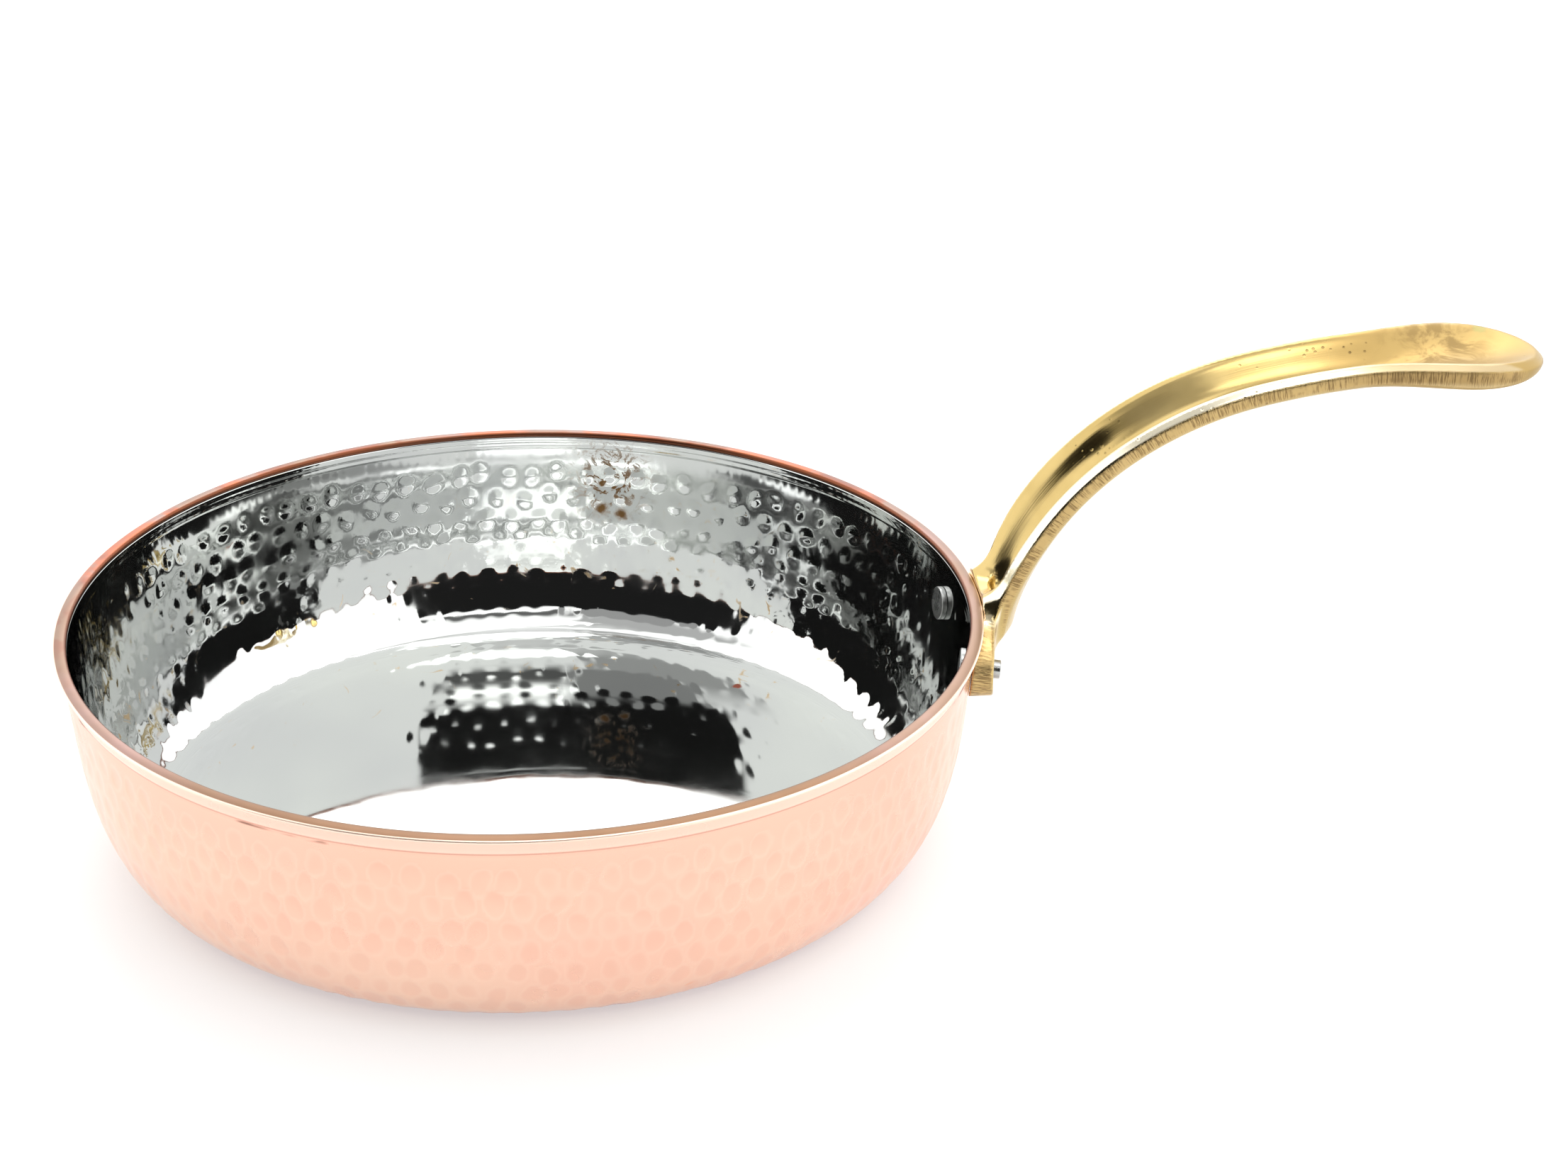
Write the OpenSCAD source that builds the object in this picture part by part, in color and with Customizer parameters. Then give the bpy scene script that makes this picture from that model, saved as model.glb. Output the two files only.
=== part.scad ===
// Shallow hammered copper frying pan: a lined copper bowl with a brass handle held by two rivets.
// Origin: centre of the flat base, on the surface the pan stands on. +X runs out along the handle.

/* [Pan] */
// Diameter over the turned lip
rim_d = 240; // [220:1:280]
// Height of the rim above the table
pan_h = 60; // [56:1:70]
// Diameter of the flat base
base_d = 190; // [170:1:200]
// Thickness of the copper
copper_t = 1.6; // [1.2:0.1:2]
// Thickness of the bright lining
lining_t = 0.3; // [0.2:0.1:0.5]

/* [Lip] */
// How far the lip stands out from the wall
lip_out = 1.75; // [1.4:0.05:2.2]
// Radius of the lip's round outer edge
lip_r = 1.3; // [1:0.1:1.3]
// Radius of the lip's inner edge
lip_in_r = 1; // [0.6:0.1:1]
// Depth of bare copper showing inside the rim
bare_h = 1.5; // [1.2:0.1:2.5]

/* [Handle] */
// Reach of the handle beyond the rim
handle_l = 147; // [130:1:170]
// Rise of the handle above the rim
handle_rise = 67; // [55:1:75]
// Width of the stem
stem_w = 27; // [22:0.2:29]
// Width of the dished thumb rest
rest_w = 34.4; // [31:0.2:38]
// Depth of the channel along the stem
channel_d = 5.4; // [4:0.1:6]
// Width of the polished bevel between the channel and the side face
bevel_w = 2.2; // [1:0.1:2.6]
// Drop of the bevel from its inner edge to the side face
bevel_h = 1.5; // [0.8:0.1:1.8]
// Height of the edge, bevel and side face together
side_h = 4.8; // [4:0.1:6]
// How far the underside bulges below the side faces
belly = 3.8; // [3:0.1:4.5]

/* [Flange] */
// Thickness of the flange at the rivets
flange_t = 4.6; // [4:0.1:6]
// Radius of each rounded lobe
lobe_r = 6.8; // [6:0.1:7]
// Angle from the handle's centre line to each rivet
rivet_az = 9.3; // [9:0.1:10]
// Angle from the handle's centre line to each lobe's centre
lobe_az = 9.9; // [9.6:0.1:10.2]

/* [Rivets] */
// Diameter of the shank
shank_d = 5; // [4:0.1:5.5]
// Diameter of the flat head inside the pan
head_d = 9; // [8:0.1:9.5]
// Thickness of the head
head_t = 1.4; // [1:0.1:1.8]
// How far the shank stands out of the flange
tail_l = 2; // [1:0.1:3]

/* [Hidden] */
$fn = 96;
ROUND_FN = 180;
RIVET_FN = 48;

// Pan profile, as radius and height
rim_r = rim_d / 2;
base_r = base_d / 2;
wall_r = rim_r - lip_out;
taper = 0.1;
wall_top_z = pan_h - 2 * lip_r - 0.6;
wall_low_z = 0.62 * pan_h;
wall_low_r = wall_r - taper * (wall_top_z - wall_low_z);
cove_pull_r = 0.71;
cove_pull_z = 0.46;
cove = [
    [base_r, 0],
    [base_r + cove_pull_r * (wall_low_r - base_r), 0],
    [wall_low_r - taper * cove_pull_z * wall_low_z, (1 - cove_pull_z) * wall_low_z],
    [wall_low_r, wall_low_z]
];
COVE_STEPS = 20;
LIP_STEPS = 6;
wall_tilt = atan(taper);
full_t = copper_t + lining_t;

// Rivet place and fits
rivet_z = pan_h - 13.2;
head_gap = 0.1;
hole_clear = 0.05;
wall_at_rivet = wall_r - taper * (wall_top_z - rivet_z);

// Flange
flange_clear = 0.1;
flange_r = wall_at_rivet + flange_t + 1.2;
lobe_y = flange_r * sin(lobe_az);
flange_top = pan_h + 0.5;
FLANGE_STEPS = 6;

// Handle centre line, at the height of its edges, as offsets from the rim
reach = handle_l / 147;
rise = handle_rise / 67;
joint_dir = [36, 8];
join = [70, 60];
stem_curve = [[0.5, -9], [6, 26], join - joint_dir, join];
rest_curve = [join, join + joint_dir * 2 / 3, [123, 67], [147, 62.5]];
STEM_RINGS = 26;
REST_RINGS = 22;
SECTION_STEPS = 16;
UNDER_W = 0.97;
rest_from = 95;
rest_full = 125;
tip_x = 147;
rest_dip = -1;
root_w = 0.73;
root_rise = 22;

function mix(a, b, t) = a + (b - a) * t;
function smooth(lo, hi, x) = let (t = min(1, max(0, (x - lo) / (hi - lo)))) t * t * (3 - 2 * t);
function unit(v) = v / norm(v);
function bezier(p, t) =
    pow(1 - t, 3) * p[0] + 3 * t * pow(1 - t, 2) * p[1] + 3 * t * t * (1 - t) * p[2] + pow(t, 3) * p[3];
function bezier_dir(p, t) = unit(
    pow(1 - t, 2) * (p[1] - p[0]) + 2 * t * (1 - t) * (p[2] - p[1]) + t * t * (p[3] - p[2]));
function arc(centre, r, from, to, steps) =
    [for (i = [0 : steps]) centre + r * [cos(mix(from, to, i / steps)), sin(mix(from, to, i / steps))]];

// The cove from the base up to the straight wall, moved inwards by t
function cove_points(t) = [for (i = [0 : COVE_STEPS])
    let (s = i / COVE_STEPS, d = bezier_dir(cove, s)) bezier(cove, s) + t * [-d[1], d[0]]];

// The straight wall's top point, moved inwards by t
function wall_point(t, z) = [wall_r - taper * (wall_top_z - z) - t / cos(wall_tilt), z];

function lip_points() = concat(
    arc([rim_r - lip_r, pan_h - lip_r], lip_r, -55, 90, LIP_STEPS),
    arc([lining_edge_r + lip_in_r, pan_h - lip_in_r], lip_in_r, 90, 180, LIP_STEPS)
);
lining_edge_z = pan_h - bare_h;
lining_edge_r = wall_point(full_t, lining_edge_z)[0];

function reversed(list) = [for (i = [len(list) - 1 : -1 : 0]) list[i]];

module copper_profile() {
    polygon(concat(
        [[0, 0]],
        cove_points(0),
        [wall_point(0, wall_top_z)],
        lip_points(),
        [[lining_edge_r, lining_edge_z], wall_point(copper_t, lining_edge_z)],
        reversed(cove_points(copper_t)),
        [[0, copper_t]]
    ));
}

module lining_profile() {
    polygon(concat(
        [[0, copper_t]],
        cove_points(copper_t),
        [wall_point(copper_t, lining_edge_z), [lining_edge_r, lining_edge_z]],
        reversed(cove_points(full_t)),
        [[0, full_t]]
    ));
}

// Places its children at a rivet, with +Z pointing out through the wall from the lining's face
module at_rivet(side) {
    rotate([0, 0, side * rivet_az])
        translate([wall_at_rivet, 0, rivet_z])
            rotate([0, 90 + wall_tilt, 0])
                translate([0, 0, -full_t])
                    children();
}

module rivet_holes() {
    for (side = [-1, 1])
        at_rivet(side)
            translate([0, 0, -5])
                cylinder(d = shank_d + 2 * hole_clear, h = 20, $fn = RIVET_FN);
}

module copper_body() {
    color("#e8a582")
        difference() {
            rotate_extrude($fn = ROUND_FN) copper_profile();
            rivet_holes();
        }
}

module tin_lining() {
    color("#c9ccd1")
        difference() {
            rotate_extrude($fn = ROUND_FN) lining_profile();
            rivet_holes();
        }
}

module rivet(side) {
    chamfer = 0.3;
    shank_l = full_t + flange_t + 0.9 + tail_l;
    color("#aeb2b5")
        at_rivet(side) {
            translate([0, 0, -head_gap - head_t])
                rotate_extrude($fn = RIVET_FN)
                    polygon([
                        [0, 0], [head_d / 2 - chamfer, 0], [head_d / 2, chamfer],
                        [head_d / 2, head_t], [0, head_t]
                    ]);
            translate([0, 0, -head_gap - head_t / 2])
                rotate_extrude($fn = RIVET_FN)
                    polygon([
                        [0, 0], [shank_d / 2, 0], [shank_d / 2, shank_l + head_t / 2 - chamfer],
                        [shank_d / 2 - chamfer, shank_l + head_t / 2], [0, shank_l + head_t / 2]
                    ]);
        }
}

module near_rivet() { rivet(-1); }
module far_rivet() { rivet(1); }

// Half of the flange's outline, from the middle of its top edge round to the middle of its bottom
function flange_half() =
    let (shoulder = [stem_w / 2 - 3, flange_top],
         top = [lobe_y, rivet_z + lobe_r],
         pull = [shoulder[0] + 3.5, top[1] + 1.5],
         foot = [lobe_y * 0.5, rivet_z - lobe_r + 1])
    concat(
        [for (i = [0 : FLANGE_STEPS]) let (t = i / FLANGE_STEPS)
            pow(1 - t, 2) * shoulder + 2 * t * (1 - t) * pull + t * t * top],
        arc([lobe_y, rivet_z], lobe_r, 75, -90, 10),
        [foot, [0, foot[1] + 0.5]]
    );

module flange_outline() {
    polygon(concat(flange_half(), [for (p = reversed(flange_half())) [-p[0], p[1]]]));
}

// The pan's outside, grown a little, that the flange is filed to fit
module pan_seat() {
    grown = wall_r + flange_clear;
    lip_z = wall_top_z - 0.4;
    rotate_extrude($fn = ROUND_FN)
        polygon([
            [0, 0], [grown - taper * wall_top_z, 0], [grown - taper * (wall_top_z - lip_z), lip_z],
            [rim_r + flange_clear, lip_z + 0.8], [rim_r + flange_clear, pan_h + 5], [0, pan_h + 5]
        ]);
}

module flange() {
    intersection() {
        rotate([90, 0, 90]) linear_extrude(height = rim_r + 20) flange_outline();
        difference() {
            cylinder(r = flange_r, h = pan_h + 10, $fn = ROUND_FN);
            pan_seat();
        }
    }
}

// Stations along the centre line: position and direction in the XZ plane
stations = concat(
    [for (i = [0 : STEM_RINGS - 1]) let (t = i / STEM_RINGS)
        [bezier(stem_curve, t), bezier_dir(stem_curve, t)]],
    [for (i = [0 : REST_RINGS]) let (s = i / REST_RINGS, t = 1 - pow(1 - s, 1.5))
        [bezier(rest_curve, t), bezier_dir(rest_curve, t)]]
);

// Shape of the handle at distance x beyond the rim: half width, then how full the section still is
function tip_fill(x) = x < rest_full ? 1 : sqrt(max(0.002, 1 - pow((x - rest_full) / (tip_x - rest_full), 2)));
function half_w(p) =
    mix(stem_w, rest_w, smooth(rest_from, rest_full, p[0])) / 2
    * mix(root_w, 1, smooth(-9, root_rise, p[1])) * tip_fill(p[0]);
function side_at(p) = mix(side_h, side_h + 1.2, smooth(rest_from, rest_full, p[0])) * mix(0.25, 1, tip_fill(p[0]));
function channel_at(p) = (channel_d + rest_dip * smooth(rest_from, rest_full, p[0])) * tip_fill(p[0]);
function belly_at(p) = belly * mix(0.4, 1, tip_fill(p[0]));

// One closed section: bevel, channel, bevel, then back across the underside
function section(p, d) =
    let (w = half_w(p), fill = tip_fill(p[0]), inner = w - bevel_w * fill,
         side = side_at(p), dip = channel_at(p), bulge = belly_at(p), drop = bevel_h * fill,
         at = [rim_r + reach * p[0], pan_h + rise * p[1]], last = SECTION_STEPS - 1)
    concat(
        [on_handle(at, d, w, -drop)],
        [for (i = [1 : last]) let (a = 180 * (i - 1) / (last - 1))
            on_handle(at, d, inner * cos(a), -dip * pow(sin(a), 2))],
        [on_handle(at, d, -w, -drop)],
        [for (i = [SECTION_STEPS : -1 : 0]) let (a = 180 * i / SECTION_STEPS)
            on_handle(at, d, w * UNDER_W * cos(a), -side - bulge * pow(sin(a), 2))]
    );
function on_handle(at, d, across, up) = [at[0] - up * d[1], across, at[1] + up * d[0]];

module stem() {
    ring = 2 * (SECTION_STEPS + 1);
    last = (len(stations) - 1) * ring;
    points = [for (s = stations) each section(s[0], s[1])];
    sides = [for (k = [0 : len(stations) - 2], i = [0 : ring - 1])
        let (a = k * ring + i, b = k * ring + (i + 1) % ring)
        each [[a, b + ring, b], [a, a + ring, b + ring]]];
    start_cap = [for (i = [0 : SECTION_STEPS - 1]) let (j = ring - 1 - i)
        each [[i, j - 1, j], [i, i + 1, j - 1]]];
    end_cap = [for (i = [0 : SECTION_STEPS - 1]) let (j = ring - 1 - i)
        each [[last + i, last + j, last + j - 1], [last + i, last + j - 1, last + i + 1]]];
    polyhedron(points, concat(sides, start_cap, end_cap));
}

module brass_handle() {
    color("#d9b35c")
        difference() {
            union() {
                flange();
                stem();
            }
            pan_seat();
            rivet_holes();
        }
}

copper_body();
tin_lining();
brass_handle();
near_rivet();
far_rivet();
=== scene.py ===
"""A shallow hammered copper pan, bright inside, with a cast brass handle held by two rivets."""
import functools
import math

import bpy
import numpy as np
from mathutils import Matrix, Vector


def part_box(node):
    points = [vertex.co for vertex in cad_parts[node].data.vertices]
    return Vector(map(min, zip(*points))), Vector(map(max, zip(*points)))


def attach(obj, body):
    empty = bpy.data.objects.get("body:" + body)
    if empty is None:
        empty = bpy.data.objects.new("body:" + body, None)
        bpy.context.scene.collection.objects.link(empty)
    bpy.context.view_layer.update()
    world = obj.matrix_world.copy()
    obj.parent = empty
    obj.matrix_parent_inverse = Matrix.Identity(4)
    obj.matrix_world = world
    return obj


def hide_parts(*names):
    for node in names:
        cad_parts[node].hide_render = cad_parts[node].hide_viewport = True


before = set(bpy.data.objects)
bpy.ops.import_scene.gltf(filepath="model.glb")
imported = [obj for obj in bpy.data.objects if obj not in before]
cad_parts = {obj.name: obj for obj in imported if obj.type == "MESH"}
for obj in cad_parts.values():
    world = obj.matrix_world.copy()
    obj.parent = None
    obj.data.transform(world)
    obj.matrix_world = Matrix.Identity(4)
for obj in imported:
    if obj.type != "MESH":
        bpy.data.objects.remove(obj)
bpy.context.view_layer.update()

MM = 0.001

# ---------------------------------------------------------------- sizes, in millimetres
pan_low, pan_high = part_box("copper_body")
RIM_R = pan_high.x / MM                       # outside of the turned lip
PAN_H = pan_high.z / MM                       # height of the rim
BASE_R = RIM_R * 95 / 120                     # edge of the flat base
COPPER_T = 1.6                                # thickness of the copper
LINING_T = 0.3                                # thickness of the bright lining
FULL_T = COPPER_T + LINING_T
LIP_OUT = 1.75                                # how far the lip stands out from the wall
LIP_R = 0.5                                   # radius of the lip's outer edge
LIP_IN_R = 0.9                                # radius of the lip's inner edge
LIP_FALL = 0.4                                # how far the lip's top falls towards its outer edge
FLARE_H = 5.0                                 # height of the flare under the lip
FLARE_CURVE = 1.35                            # 1 is a straight flare, more opens later
OUTER_LINES = ((5.0, 0.09), (5.9, 0.05))      # turned lines outside: drop below the rim, depth
INNER_LINES = ((2.8, 0.02), (4.4, 0.035))     # turned lines inside
OUTER_LINE_W, INNER_LINE_W = 0.28, 0.24
BARE_H = 1.5                                  # bare copper showing inside the rim
TAPER = 0.1                                   # slope of the straight wall
WALL_R = RIM_R - LIP_OUT
WALL_TOP_Z = PAN_H - 3.2                      # top of the straight wall
WALL_LOW_Z = 0.62 * PAN_H                     # top of the cove
WALL_LOW_R = WALL_R - TAPER * (WALL_TOP_Z - WALL_LOW_Z)
COVE_PULL_R, COVE_PULL_Z = 0.71, 0.46         # how far the cove's curve holds to the base and wall

AROUND = 900                                  # facets round the pan
MARKS_PER_ROW = 96                            # hammer marks round the pan
MARK_ROWS = 8
MARKS_FROM, MARKS_FULL = 7, 10                # the marks fade in this far below the rim
OUTER_FOOT = (96.5, 99)                       # and out again between these radii near the base
INNER_FOOT = (99, 104)
FIRST_ROW = 9.8                               # first row's distance down the wall from the lip
ROW_PITCH = 6.9
RING_STEP = 1.15                              # distance between rings of points down the wall
FINE_STEP = 0.3                               # the same near the turned lines
OUTER_FINE, INNER_FINE = 8, 7                 # the fine rings start this far below the rim

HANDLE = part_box("brass_handle")
REACH = (HANDLE[1].x / MM - RIM_R) / 147      # handle's length against the drawn one
RIVET_Z = PAN_H - 13.2                        # height of the rivets
RIVET_AZ = math.radians(9.3)                  # angle from the handle's line to each rivet
LOBE_AZ = math.radians(9.9)                   # and to the centre of each lobe of the flange
LOBE_R = 6.8
FLANGE_T = 4.6                                # thickness of the flange at the rivets


# ---------------------------------------------------------------- small helpers
def mix(a, b, t):
    return a + (b - a) * t


def smooth(lo, hi, x):
    t = np.clip((x - lo) / (hi - lo), 0, 1)
    return t * t * (3 - 2 * t)


def bezier(points, t):
    """Points of a cubic curve at the parameters t, and its unit directions."""
    p = np.asarray(points, float)
    t = np.asarray(t, float)[:, None]
    at = (1 - t) ** 3 * p[0] + 3 * t * (1 - t) ** 2 * p[1] + 3 * t * t * (1 - t) * p[2] + t ** 3 * p[3]
    way = (1 - t) ** 2 * (p[1] - p[0]) + 2 * t * (1 - t) * (p[2] - p[1]) + t * t * (p[3] - p[2])
    return at, way / np.linalg.norm(way, axis=1)[:, None]


def arc(centre, radius, start, end, steps):
    a = np.radians(np.linspace(start, end, steps + 1))
    return np.stack([centre[0] + radius * np.cos(a), centre[1] + radius * np.sin(a)], 1)


def resample(line, spacing):
    """The same line with points about that far apart."""
    line = np.asarray(line, float)
    run = np.concatenate([[0], np.cumsum(np.linalg.norm(np.diff(line, axis=0), axis=1))])
    n = max(1, round(run[-1] / spacing))
    at = np.linspace(0, run[-1], n + 1)
    return np.stack([np.interp(at, run, line[:, k]) for k in range(line.shape[1])], 1)


def mesh_piece(name, verts_mm, faces):
    """A mesh object from points in millimetres."""
    verts = [tuple(v) for v in np.asarray(verts_mm, float) * MM]
    mesh = bpy.data.meshes.new(name)
    mesh.from_pydata(verts, [], [list(map(int, f)) for f in faces])
    mesh.update()
    mesh.shade_smooth()
    piece = bpy.data.objects.new(name, mesh)
    bpy.context.scene.collection.objects.link(piece)
    return piece


def paint(mesh, name, values):
    """Stores one number for each vertex, for a material or a node tree to read."""
    layer = mesh.attributes.new(name, "FLOAT", "POINT")
    layer.data.foreach_set("value", np.asarray(values, np.float32))


def spin(name, profile, around):
    """A closed solid of revolution. The profile starts and ends on the axis; outside first."""
    profile = np.asarray(profile, float)
    turn = 2 * math.pi * np.arange(around) / around
    rings = profile[1:-1]
    ring_points = np.stack([
        rings[:, None, 0] * np.cos(turn), rings[:, None, 0] * np.sin(turn),
        np.repeat(rings[:, 1:2], around, 1)], -1).reshape(-1, 3)
    verts = np.concatenate([[[0, 0, profile[0][1]]], ring_points, [[0, 0, profile[-1][1]]]])
    n = len(rings)
    i, j = np.meshgrid(np.arange(n - 1), np.arange(around), indexing="ij")
    k = (j + 1) % around
    quads = np.stack([1 + i * around + j, 1 + i * around + k,
                      1 + (i + 1) * around + k, 1 + (i + 1) * around + j], -1).reshape(-1, 4)
    last = len(verts) - 1
    start = [[0, 1 + (a + 1) % around, 1 + a] for a in range(around)]
    end = [[last, last - around + a, last - around + (a + 1) % around] for a in range(around)]
    return mesh_piece(name, verts, [*quads.tolist(), *start, *end])


# ---------------------------------------------------------------- node helpers
class Web:
    """Builds a node tree: each call makes one node, sets its inputs and returns its first output."""

    def __init__(self, tree):
        self.tree = tree

    def node(self, kind, inputs=None, **settings):
        made = self.tree.nodes.new(kind)
        for key, value in settings.items():
            setattr(made, key, value)
        for key, value in (inputs or {}).items():
            self.set(made.inputs[key], value)
        return made

    def set(self, socket, value):
        if isinstance(value, bpy.types.NodeSocket):
            self.tree.links.new(value, socket)
        else:
            socket.default_value = value

    def math(self, operation, a, b=0.0, c=0.0, clamp=False):
        made = self.node("ShaderNodeMath", {0: a, 1: b, 2: c}, operation=operation, use_clamp=clamp)
        return made.outputs[0]

    def plus(self, a, b):
        return self.math("ADD", a, b)

    def minus(self, a, b, clamp=False):
        return self.math("SUBTRACT", a, b, clamp=clamp)

    def times(self, a, b, *more):
        product = self.math("MULTIPLY", a, b)
        return self.times(product, *more) if more else product

    def most(self, a, b):
        return self.math("MAXIMUM", a, b)

    def vector(self, operation, a, b):
        return self.node("ShaderNodeVectorMath", {0: a, 1: b}, operation=operation).outputs[0]

    def scaled(self, a, factor):
        return self.node("ShaderNodeVectorMath", {0: a, "Scale": factor}, operation="SCALE").outputs[0]

    def distance(self, a, b):
        return self.node("ShaderNodeVectorMath", {0: a, 1: b}, operation="DISTANCE").outputs["Value"]

    def turned(self, a, angle):
        return self.node("ShaderNodeVectorRotate", {"Vector": a, "Angle": angle},
                         rotation_type="Z_AXIS").outputs[0]

    def join(self, x=0.0, y=0.0, z=0.0):
        return self.node("ShaderNodeCombineXYZ", {"X": x, "Y": y, "Z": z}).outputs[0]

    def split(self, a):
        return self.node("ShaderNodeSeparateXYZ", {0: a}).outputs

    def ramp(self, value, low, high, to_low=0.0, to_high=1.0):
        return self.node("ShaderNodeMapRange", {0: value, 1: low, 2: high, 3: to_low, 4: to_high},
                         interpolation_type="SMOOTHSTEP").outputs[0]

    def blend(self, factor, a, b):
        """From colour a to colour b. A colour is a socket or three numbers."""
        made = self.node("ShaderNodeMix", {0: factor}, data_type="RGBA")
        for socket, colour in ((made.inputs[6], a), (made.inputs[7], b)):
            self.set(socket, (*colour, 1) if isinstance(colour, tuple) else colour)
        return made.outputs[2]

    def noise(self, vector, scale, detail=3.0, roughness=0.5, distortion=0.0):
        return self.node("ShaderNodeTexNoise", {
            "Vector": vector, "Scale": scale, "Detail": detail,
            "Roughness": roughness, "Distortion": distortion}).outputs[0]


def new_tree(name, subject, inputs):
    """A node tree that takes a geometry and named inputs and gives the geometry back."""
    tree = bpy.data.node_groups.new(name, "GeometryNodeTree")
    face = tree.interface
    face.new_socket(subject, in_out="INPUT", socket_type="NodeSocketGeometry")
    for label, kind, value in inputs:
        made = face.new_socket(label, in_out="INPUT", socket_type="NodeSocket" + kind)
        if value is not None:
            made.default_value = value
    face.new_socket(subject, in_out="OUTPUT", socket_type="NodeSocketGeometry")
    web = Web(tree)
    return tree, web, web.node("NodeGroupInput").outputs


def close_tree(web, geometry, finish):
    """Ends a tree: its instances are made real, and the material is set."""
    real = web.node("GeometryNodeRealizeInstances", {"Geometry": geometry}).outputs[0]
    real = web.node("GeometryNodeSetMaterial", {"Geometry": real, "Material": finish}).outputs[0]
    web.set(web.node("NodeGroupOutput").inputs[0], real)


# ---------------------------------------------------------------- camera
# It stands in front of the pan and a little to the left of the handle's square-on view.
camera_data = bpy.data.cameras.new("camera")
camera_data.lens = 74.2
camera_data.sensor_width = 36
camera = bpy.data.objects.new("camera", camera_data)
CAMERA_AT = Vector((-0.01985, -0.75799, 0.43091))
CAMERA_AIM = Vector((0.0685, 0.0, 0.0625))
camera.location = CAMERA_AT
look = (CAMERA_AIM - CAMERA_AT).to_track_quat("-Z", "Y")
CAMERA_ROLL = math.radians(0.5)
camera.rotation_euler = (look.to_matrix() @ Matrix.Rotation(CAMERA_ROLL, 3, "Z")).to_euler()
camera_data.clip_start = 0.02
camera_data.clip_end = 40
bpy.context.scene.collection.objects.link(camera)
bpy.context.scene.camera = camera


# ---------------------------------------------------------------- the pan's two shells
def cove(offset, steps):
    """The curve from the base up to the straight wall, moved inwards by offset."""
    low = (BASE_R + COVE_PULL_R * (WALL_LOW_R - BASE_R), 0)
    high = (WALL_LOW_R - TAPER * COVE_PULL_Z * WALL_LOW_Z, (1 - COVE_PULL_Z) * WALL_LOW_Z)
    curve = [(BASE_R, 0), low, high, (WALL_LOW_R, WALL_LOW_Z)]
    at, way = bezier(curve, np.linspace(0, 1, steps))
    return at + offset * np.stack([-way[:, 1], way[:, 0]], 1)


def wall_point(offset, z):
    return np.array([[WALL_R - TAPER * (WALL_TOP_Z - z) - offset / math.cos(math.atan(TAPER)), z]])


def turned_line(profile, z, depth, width):
    """Presses a fine turned line into a profile at height z."""
    profile = profile.copy()
    near = np.exp(-((profile[:, 1] - z) / width) ** 2)
    profile[:, 0] -= depth * near
    return profile


def outer_wall():
    """Outside of the copper from the edge of the base to just under the lip."""
    line = np.concatenate([cove(0, 60), wall_point(0, WALL_TOP_Z)])
    wall = resample(line, RING_STEP)
    top = wall[:, 1] > PAN_H - OUTER_FINE
    fine = resample(wall[top], FINE_STEP)
    wall = np.concatenate([wall[~top], fine])
    for drop, depth in OUTER_LINES:
        wall = turned_line(wall, PAN_H - drop, depth, OUTER_LINE_W)
    # The top of the wall opens in a short flare to the lip
    flare_z = np.linspace(PAN_H - FLARE_H, PAN_H - LIP_FALL - LIP_R, 12)
    flare = np.linspace(0, 1, len(flare_z)) ** FLARE_CURVE
    start = WALL_R - TAPER * (WALL_TOP_Z - flare_z)
    flared = np.stack([mix(start, RIM_R, flare), flare_z], 1)
    return np.concatenate([wall[wall[:, 1] < flare_z[0] - 0.1], flared[:-1]])


def copper_profile():
    """From the middle of the base out, up the wall, over the lip and back along the inside."""
    edge_z = PAN_H - BARE_H
    edge_r = wall_point(FULL_T, edge_z)[0][0]
    outer = arc((RIM_R - LIP_R, PAN_H - LIP_FALL - LIP_R), LIP_R, 0, 72, 6)
    inner = arc((edge_r + LIP_IN_R, PAN_H - LIP_IN_R), LIP_IN_R, 90, 180, 8)
    third = (outer[-1][0] - inner[0][0]) / 3
    crown = bezier([outer[-1], outer[-1] + [-third, third * 0.32], inner[0] + [third, 0], inner[0]],
                   np.linspace(0, 1, 7))[0]
    lip = np.concatenate([outer, crown[1:-1], inner])
    base = [(0, 0), (BASE_R * 0.5, 0), (BASE_R - 2, 0)]
    inside = np.concatenate([
        [[edge_r, edge_z]], wall_point(COPPER_T, edge_z), cove(COPPER_T, 10)[::-1],
        [[BASE_R * 0.5, COPPER_T], [0, COPPER_T]]])
    return np.concatenate([base, outer_wall(), lip, inside])


def lining_profile():
    """From the middle of the side that sits on the copper, round to the middle of the bright face."""
    edge_z = PAN_H - BARE_H
    face = np.concatenate([cove(FULL_T, 60), wall_point(FULL_T, edge_z)])
    face = resample(face, RING_STEP)
    top = face[:, 1] > PAN_H - INNER_FINE
    face = np.concatenate([face[~top], resample(face[top], FINE_STEP)])
    for drop, depth in INNER_LINES:
        face = turned_line(face, PAN_H - drop, depth, INNER_LINE_W)
    floor = np.array([(r, FULL_T) for r in (0, 30, 60, 80, *np.linspace(88, BASE_R - 0.4, 12))])
    crease = np.exp(-((floor[:, 0] - BASE_R + 1.5) / 1.4) ** 2)
    floor[:, 1] -= 0.05 * crease
    back = np.concatenate([
        [[0, COPPER_T]], cove(COPPER_T, 10), wall_point(COPPER_T, edge_z)])
    return np.concatenate([back, face[::-1], floor[::-1]])


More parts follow.
